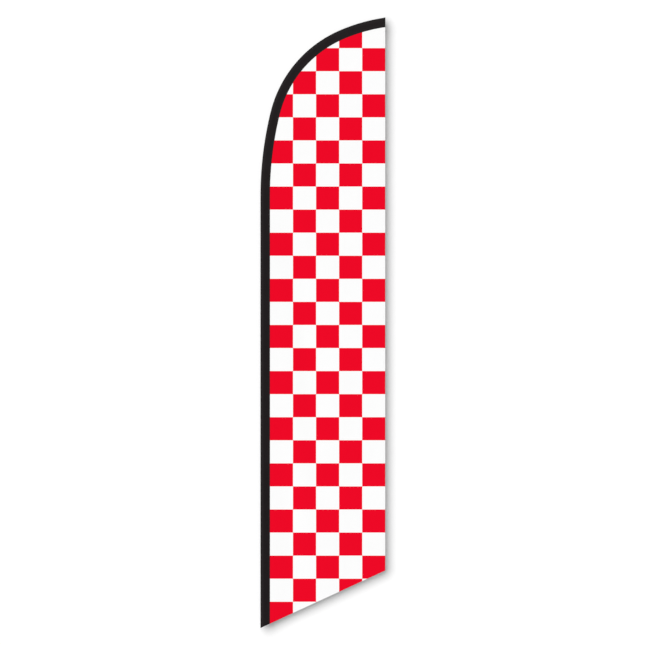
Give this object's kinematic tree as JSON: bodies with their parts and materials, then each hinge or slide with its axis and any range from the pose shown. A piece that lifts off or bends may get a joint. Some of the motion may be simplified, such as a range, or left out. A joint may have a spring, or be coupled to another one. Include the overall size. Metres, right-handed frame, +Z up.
{
  "type": "feather flag with pole",
  "caption": "Feather flag: red and white chequered panel with a black sleeve over a sectional pole that turns on a spindle.",
  "frame": {"origin": "centre of the spindle socket's mouth, at the foot of the pole", "axes": "+Z up along the straight pole, +X from the sleeve towards the fly edge, -Y is the front face"},
  "size_m": [0.716, 0.029, 3.5036],
  "materials": {
    "nylon_white": "moulded nylon",
    "steel": "turned",
    "aluminium_tube": "satin anodised",
    "nylon_black": "moulded, fine texture",
    "fibreglass": "pultruded, satin",
    "rubber": "soft, matt",
    "sleeve_cloth": "woven polyester, black",
    "printed_knit": "knitted polyester printed with red and white squares",
    "black_webbing": "woven tape"
  },
  "bodies": {
    "spindle": {"spindle_sleeve": "nylon_white", "thrust_pad": "steel"},
    "pole_base": {"base_tube": "aluminium_tube", "base_collar": "nylon_black"},
    "pole_lower": {"lower_end_plug": "nylon_black", "lower_tube": "aluminium_tube", "lower_stop_ring": "nylon_black", "lower_collar": "nylon_black"},
    "pole_middle": {"middle_end_plug": "nylon_black", "middle_tube": "aluminium_tube", "middle_stop_ring": "nylon_black", "middle_collar": "nylon_black"},
    "flag_and_tip": {"tip_ferrule": "aluminium_tube", "tip_rod": "fibreglass", "tip_cap": "rubber", "sleeve_straight": "sleeve_cloth", "sleeve_shoulder": "sleeve_cloth", "sleeve_crown": "sleeve_cloth", "sleeve_end": "sleeve_cloth", "mouth_hem": "black_webbing", "tip_pocket": "black_webbing", "hold_down_strap": "black_webbing", "flag_panel": "printed_knit", "seam_tape": "black_webbing", "fly_hem": "printed_knit", "bottom_hem": "printed_knit"}
  },
  "joints": [
    {"name": "pole_turn", "type": "hinge", "parent": "spindle", "child": "pole_base", "pos_m": [0, 0, 0], "axis": [0, 0, -1], "continuous": true},
    {"name": "base_coupling", "type": "slide", "parent": "pole_base", "child": "pole_lower", "axis": [0, 0, 1], "range_m": [0, 0.1]},
    {"name": "lower_coupling", "type": "slide", "parent": "pole_lower", "child": "pole_middle", "axis": [0, 0, 1], "range_m": [0, 0.1]},
    {"name": "tip_coupling", "type": "slide", "parent": "pole_middle", "child": "flag_and_tip", "axis": [0, 0, 1], "range_m": [0, 0.09]}
  ]
}
